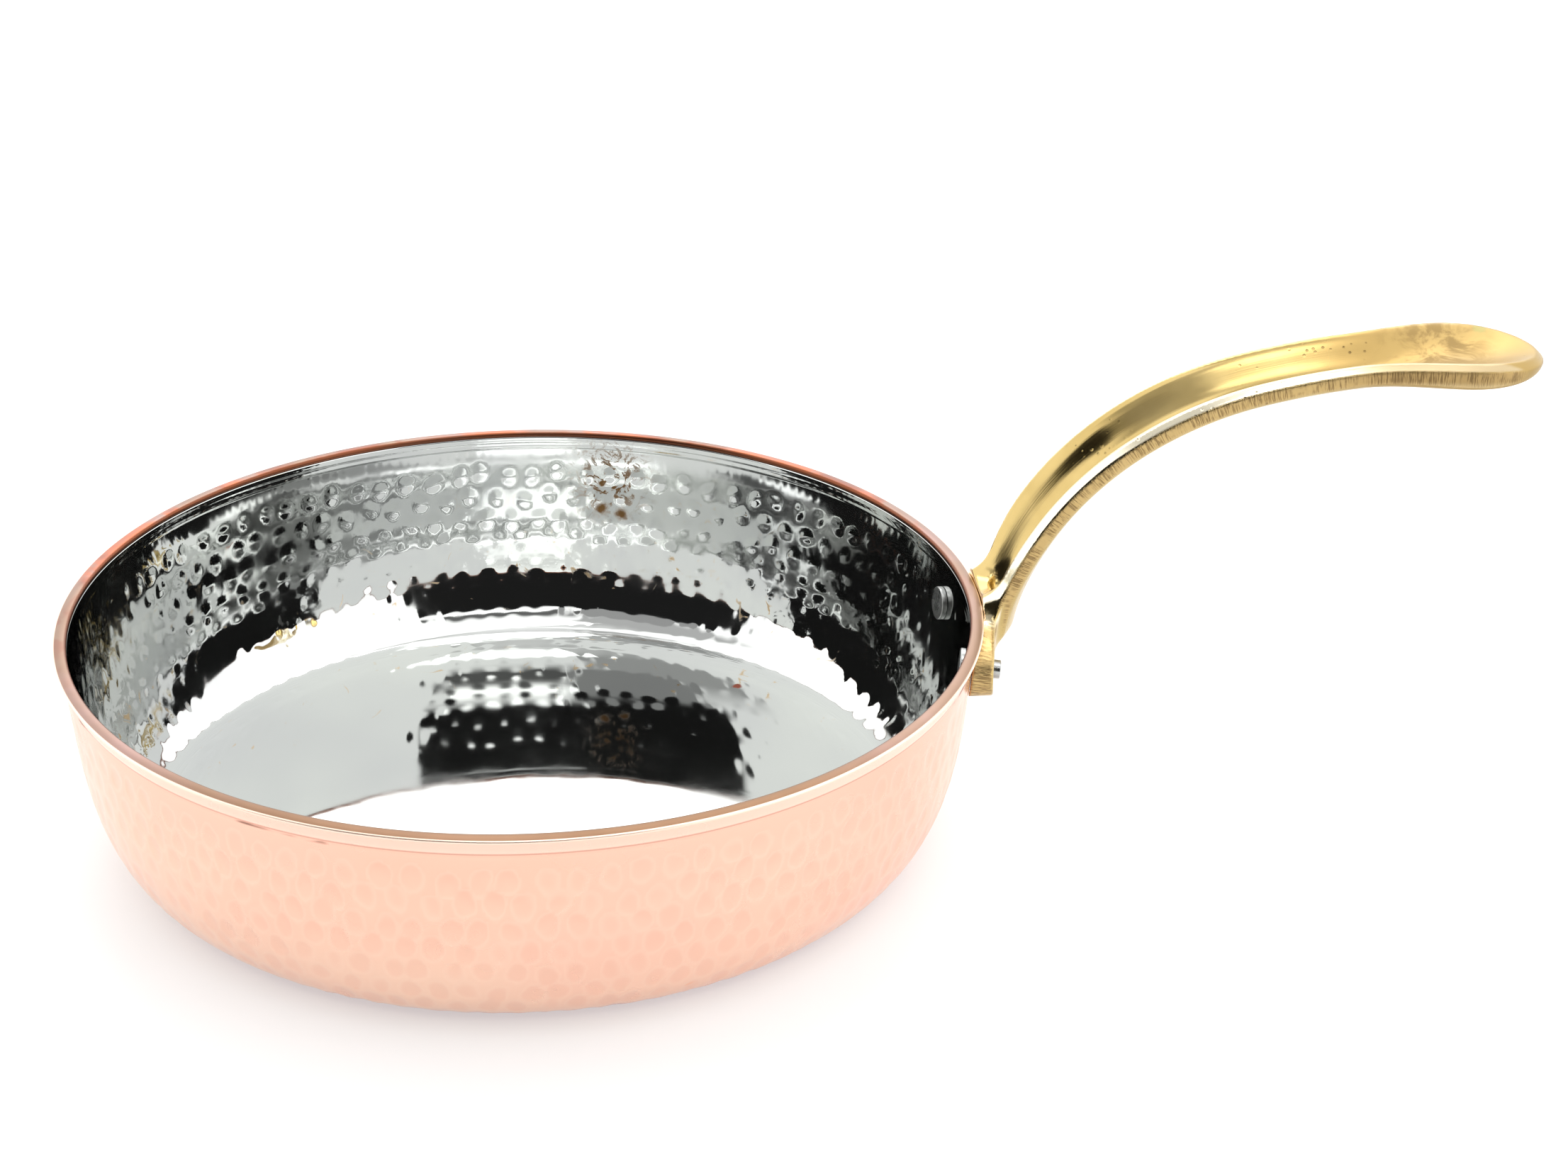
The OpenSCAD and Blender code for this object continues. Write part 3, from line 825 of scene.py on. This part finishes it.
def copper_finish():
    made, web, shader, place = metal("polished_copper")
    radius, height, angle = cylinder_coordinates(web, place)
    colour = hammered_copper(web, place, height)
    # Dark rubs along the turned line under the lip
    off = web.math("ABSOLUTE", web.minus(height, (PAN_H - OUTER_LINES[0][0] - 0.3) * MM))
    line = web.minus(1.0, web.ramp(off, 0.0002, 0.0011))
    rub = web.ramp(web.noise(stretched(web, place, 1, 1, 6), 42.0, 2.0, 0.5), 0.64, 0.70)
    outside = web.ramp(radius, (WALL_R - 3) * MM, (WALL_R - 2) * MM)
    line_z = (PAN_H - OUTER_LINES[0][0]) * MM
    rub = web.times(line, rub, outside)
    colour = web.blend(web.times(rub, 0.75), colour, (0.20, 0.10, 0.07))
    # Painted light and shade: the flare above the line is painted paler, standing in for a brighter
    # reflection, and the line itself is painted darker, as shade in the turned line
    painted_flare_light = web.times(web.ramp(height, line_z, line_z + 0.6 * MM), outside)
    colour = web.blend(web.times(painted_flare_light, 0.85), colour, (1.0, 0.80, 0.66))
    painted_groove_shade = web.ramp(web.math("ABSOLUTE", web.minus(height, line_z)), 0.0003, 0.0001)
    painted_groove_shade = web.times(painted_groove_shade, outside, 0.45)
    colour = web.blend(painted_groove_shade, colour, (0.50, 0.22, 0.17))
    # The lip, and the bare copper inside it
    top = web.ramp(height, (PAN_H - 1.5) * MM, (PAN_H - 0.7) * MM)
    worn = web.times(top, web.ramp(radius, (RIM_R - 0.2) * MM, (RIM_R - 0.55) * MM))
    colour = web.blend(web.times(worn, 0.94), colour, lip_colour(web, place, angle))
    inner = web.ramp(radius, (RIM_R - 2.75) * MM, (RIM_R - 3.3) * MM)
    inner = web.times(inner, web.ramp(height, (PAN_H - 6) * MM, (PAN_H - 4) * MM))
    colour = web.blend(web.times(inner, 0.92), colour, (0.20, 0.065, 0.03))
    # Painted shade: a violet line where the wall turns under to the base, standing in for the contact shadow
    # it reflects
    foot = web.ramp(radius, (BASE_R - 4) * MM, (BASE_R - 1) * MM)
    foot = web.times(web.ramp(height, 0.0042, 0.0006), foot)
    colour = web.blend(web.times(foot, 0.8), colour, (0.34, 0.11, 0.15))
    web.set(shader.inputs["Base Color"], colour)
    fine = web.noise(stretched(web, place, 300, 300, 2600), 1.0, 2.0, 0.6)
    smear = web.noise(place, 24.0, 4.0, 0.6)
    rough = web.plus(web.ramp(smear, 0.3, 0.7, 0.20, 0.32), web.times(rub, 0.25))
    rough = web.plus(rough, web.times(top, 0.12))
    web.set(shader.inputs["Roughness"], web.plus(rough, web.times(foot, 0.2)))
    # Turning marks on the base
    base = web.ramp(height, 0.0012, 0.0003)
    rings = web.times(web.math("SINE", web.times(radius, 5200.0)), base)
    bump(web, shader, (fine, 0.00002, 0.35), (rings, 0.00003, 0.5))
    return made


def tin_finish():
    made, web, shader, place = metal("bright_tin")
    height = web.split(place)[2]
    cloud = web.ramp(web.noise(place, 9.0, 3.0), 0.3, 0.7)
    colour = web.blend(cloud, (0.64, 0.655, 0.63), (0.57, 0.58, 0.575))
    # Straw specks above the cove, a brown stain on the far wall and a red spot on the bowl's floor
    wall = web.times(web.ramp(height, 0.006, 0.012), web.ramp(height, 0.034, 0.022))
    straw = web.ramp(web.noise(place, 120.0, 2.0, 0.7, 1.5), 0.66, 0.74)
    straw = web.times(straw, wall, 0.7)
    colour = web.blend(straw, colour, (0.62, 0.40, 0.16))
    spot = web.distance(place, STAIN_AT)
    stain = web.times(web.ramp(spot, 0.017, 0.003),
                     web.ramp(web.noise(place, 230.0, 4.0, 0.65, 2.2), 0.49, 0.60))
    for blob in BLOBS_AT:
        spot = web.distance(place, blob)
        spot = web.plus(spot, web.times(web.noise(place, 500.0), 0.0028))
        stain = web.most(stain, web.ramp(spot, 0.0042, 0.0024))
    colour = web.blend(stain, colour, (0.20, 0.11, 0.045))
    dot = web.distance(place, RED_SPOT_AT)
    dot = web.ramp(web.plus(dot, web.times(web.noise(place, 400.0), 0.0016)), 0.0024, 0.0018)
    colour = web.blend(dot, colour, (0.36, 0.09, 0.05))
    web.set(shader.inputs["Base Color"], colour)
    haze = web.ramp(web.noise(place, 30.0, 5.0, 0.65), 0.35, 0.75, 0.025, 0.085)
    spoiled = web.times(web.most(stain, web.most(straw, dot)), 0.35)
    web.set(shader.inputs["Roughness"], web.plus(haze, spoiled))
    wave = web.noise(place, 42.0, 2.0, 0.5)
    bump(web, shader, (wave, 0.0006, 0.12))
    return made


def brass_finish():
    made, web, shader, place = metal("cast_brass")
    run, above = attribute(web, "run"), attribute(web, "above")
    filed, under = attribute(web, "filed"), attribute(web, "under")
    split = web.split(place)
    colour = web.blend(web.ramp(web.noise(place, 30.0, 4.0, 0.6), 0.35, 0.7),
                       (0.56, 0.42, 0.175), (0.46, 0.335, 0.125))
    # Painted highlight: the bevel along the edges is painted near white, standing in for the bright light it
    # catches
    colour = web.blend(web.times(attribute(web, "bevel"), 0.9), colour, (0.96, 0.89, 0.70))
    # A dull patch, a green spot and small pits in the thumb rest
    rest = web.distance(place, DULL_REST_AT)
    colour = web.blend(web.times(web.ramp(rest, 0.044, 0.024), 0.75), colour, (0.36, 0.24, 0.085))
    dull = web.ramp(web.noise(place, 90.0, 4.0, 0.7, 1.0), 0.42, 0.62)
    dull = web.times(web.ramp(rest, 0.020, 0.006), dull)
    colour = web.blend(web.times(dull, 0.6), colour, (0.26, 0.175, 0.07))
    green = web.distance(place, GREEN_SPOT_AT)
    green = web.ramp(web.plus(green, web.times(web.noise(place, 500.0), 0.0015)), 0.0036, 0.0024)
    colour = web.blend(web.times(green, 0.6), colour, (0.24, 0.25, 0.10))
    pits = web.node("ShaderNodeTexVoronoi", {"Vector": place, "Scale": 420.0}).outputs["Distance"]
    many = web.ramp(web.noise(place, 60.0, 3.0, 0.6), 0.52, 0.68)
    pits = web.times(web.ramp(pits, 0.22, 0.10), many)
    colour = web.blend(web.times(pits, 0.75), colour, (0.16, 0.10, 0.04))
    # Crosswise file marks on the side faces
    lengthways = web.join(run, web.times(above, 0.07), web.math("SIGN", split[1]))
    coarse = web.noise(lengthways, 2700.0, 2.0, 0.6)
    worked = web.noise(web.join(run, above), 150.0, 3.0, 0.6)
    worked = web.times(web.ramp(worked, 0.33, 0.55), web.ramp(above, -0.0062, -0.0035, 0.25, 1.0))
    cuts = web.times(web.ramp(coarse, 0.46, 0.58), worked)
    dark = web.times(cuts, filed, 0.68)
    colour = web.blend(web.times(filed, 0.6), colour, (0.60, 0.42, 0.19))
    # Painted light: the lower part of the side faces is painted paler, standing in for the bright floor they
    # reflect
    pale = web.times(filed, web.ramp(above, -0.0038, -0.0062), 0.6)
    colour = web.blend(pale, colour, (0.86, 0.72, 0.44))
    colour = web.blend(dark, colour, (0.16, 0.10, 0.045))
    web.set(shader.inputs["Base Color"], colour)
    haze = web.ramp(web.noise(place, 50.0, 4.0, 0.6), 0.3, 0.75, 0.10, 0.20)
    rough = web.plus(haze, web.times(filed, 0.22))
    rough = web.plus(rough, web.times(under, 0.10))
    rough = web.plus(rough, web.times(web.most(dull, pits), 0.2))
    rough = web.plus(rough, web.ramp(rest, 0.044, 0.018, 0.0, 0.26))
    web.set(shader.inputs["Roughness"], rough)
    # Fine belt lines run lengthways on the polished faces
    belt = web.noise(web.join(web.times(run, 0.02), split[1], above), 2600.0, 2.0, 0.6)
    polished = web.minus(1.0, filed)
    bump(web, shader,
         (web.times(belt, polished), 0.00002, 0.5),
         (web.times(web.minus(coarse, cuts), filed), 0.00012, 0.8),
         (web.times(pits, -1.0), 0.00015, 0.6))
    return made


def rivet_finish():
    made, web, shader, place = metal("dull_rivet")
    tone = web.noise(place, 160.0, 3.0, 0.6)
    colour = web.blend(web.ramp(tone, 0.35, 0.7), (0.50, 0.51, 0.50), (0.32, 0.32, 0.31))
    web.set(shader.inputs["Base Color"], colour)
    web.set(shader.inputs["Roughness"], web.ramp(tone, 0.3, 0.7, 0.22, 0.4))
    bump(web, shader, (web.noise(place, 1800.0, 2.0), 0.00003, 0.5))
    return made


# ---------------------------------------------------------------- making the pieces
copper, tin, brass, rivet_metal = copper_finish(), tin_finish(), brass_finish(), rivet_finish()

outside_line = np.concatenate([cove(0, 120), wall_point(0, WALL_TOP_Z)])
inside_line = np.concatenate([cove(FULL_T, 120), wall_point(FULL_T, PAN_H - BARE_H)])
marks = {"Rows": MARK_ROWS, "Marks per Row": MARKS_PER_ROW, "Row Pitch": ROW_PITCH * MM,
         "Scatter": 1.0 * MM, "Seed": 7}

body = hammered_shell("copper_shell", copper_profile(), outside_line, False, {
    **marks, "First Row": FIRST_ROW * MM, "Mark Radius": 3.1 * MM, "Mark Depth": 0.26 * MM,
    "Tallness": 1.4, "Softness": 1.1, "Waver": 3.2 * MM, "Finish": copper})
lining = hammered_shell("tin_coat", lining_profile(), inside_line, True, {
    **marks, "First Row": (FIRST_ROW + 1.7) * MM, "Mark Radius": 2.6 * MM, "Mark Depth": 0.15 * MM,
    "Tallness": 1.0, "Softness": 1.6, "Waver": 3.0 * MM, "Finish": tin})

handle = make_handle()
handle.data.materials.append(brass)

rivets = spin("rivets", rivet_profile(), 48)
apply_tree(rivets, rivet_tree(), {
    "Side Angle": RIVET_AZ, "Wall Radius": WALL_AT_RIVET * MM, "Height": RIVET_Z * MM,
    "Lean": math.atan(TAPER), "Depth": FULL_T * MM, "Finish": rivet_metal})

for piece, slot, nodes in (
        (body, "copper", ["copper_body"]), (lining, "lining", ["tin_lining"]),
        (handle, "brass", ["brass_handle"]), (rivets, "rivet_steel", ["near_rivet", "far_rivet"])):
    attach(piece, "root")
    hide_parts(*nodes)


# ---------------------------------------------------------------- floor and light
STUDIO_LIGHT = 1.75
FLOOR_HALF = 3000                             # half the floor's width, in millimetres

# Patches of the surroundings. Each has its left and right edges, turned towards +X, and its low and
# high edges, all in degrees, and then how soft its edges are and how strong it is. Lists named FAR
# are turned from the far side of the pan, and the others from the near side.
SOFT = 0.035
DARK = ((-70, 31, -90, 44, 0.02, 1.0), (-70, -19, -90, 47, SOFT, 1.0), (-18, 31, 51, 62, SOFT, 0.9))
DIM = ((-64, -19, -90, 62, SOFT, 0.72), (-92, -30, 50, 84, 0.06, 0.6))
FAR_DIM = ((-45, 45, 69, 82, SOFT, 0.65),)
LAMPS = ((-15, 22, 46, 51, 0.02, 0.8), (-48, 70, 72, 84, 0.01, 1.5))
FAR_LAMPS = ((-22, 36, 44, 68, 0.08, 1.7), (-16, 28, 20, 44, 0.08, 0.6))


def make_floor():
    corners = [(x * FLOOR_HALF, y * FLOOR_HALF, 0) for x, y in ((-1, -1), (1, -1), (1, 1), (-1, 1))]
    floor = mesh_piece("floor", corners, [(0, 1, 2, 3)])
    made = bpy.data.materials.new("pale_floor")
    made.use_nodes = True
    shader = made.node_tree.nodes["Principled BSDF"]
    shader.inputs["Base Color"].default_value = (0.5, 0.5, 0.5, 1)
    shader.inputs["Emission Color"].default_value = (1.0, 0.99, 0.985, 1)
    shader.inputs["Emission Strength"].default_value = 0.5
    shader.inputs["Roughness"].default_value = 0.7
    floor.data.materials.append(made)


def make_light():
    """A pale studio: light from all round, dark and dim panels, and soft lamps."""
    world = bpy.data.worlds.new("studio")
    bpy.context.scene.world = world
    world.use_nodes = True
    world.node_tree.nodes.clear()
    web = Web(world.node_tree)
    split = web.split(web.node("ShaderNodeTexCoord").outputs["Generated"])
    near_turn = web.math("ARCTAN2", split[0], web.times(split[1], -1.0))
    far_turn = web.math("ARCTAN2", split[0], split[1])

    def patch(turn, left, right, low, high, soft, strength):
        """As strong as asked inside a patch of the surroundings, and nought outside it."""
        across = web.times(web.ramp(turn, math.radians(left) - soft, math.radians(left) + soft),
                           web.ramp(turn, math.radians(right) + soft, math.radians(right) - soft))
        low, high = math.sin(math.radians(low)), math.sin(math.radians(high))
        upright = web.times(web.ramp(split[2], low - soft, low + soft),
                            web.ramp(split[2], high + soft, high - soft))
        return web.times(across, upright, strength)

    def gather(together, near, far=()):
        """All the patches of one kind, put together."""
        made = [patch(near_turn, *p) for p in near] + [patch(far_turn, *p) for p in far]
        return functools.reduce(together, made)

    dark = web.times(gather(web.most, DARK), 0.99)
    light = web.minus(1.0, web.most(dark, gather(web.most, DIM, FAR_DIM)))
    light = web.plus(light, gather(web.plus, LAMPS, FAR_LAMPS))
    seen = web.node("ShaderNodeLightPath").outputs["Is Camera Ray"]
    strength = web.node("ShaderNodeMix", {0: seen, 2: web.times(light, STUDIO_LIGHT), 3: 1.0},
                        data_type="FLOAT").outputs[0]
    sky = web.node("ShaderNodeBackground", {"Color": (1.0, 1.0, 1.0, 1), "Strength": strength})
    web.node("ShaderNodeOutputWorld", {"Surface": sky.outputs[0]})


make_floor()
make_light()
bpy.context.scene.view_settings.view_transform = "Standard"
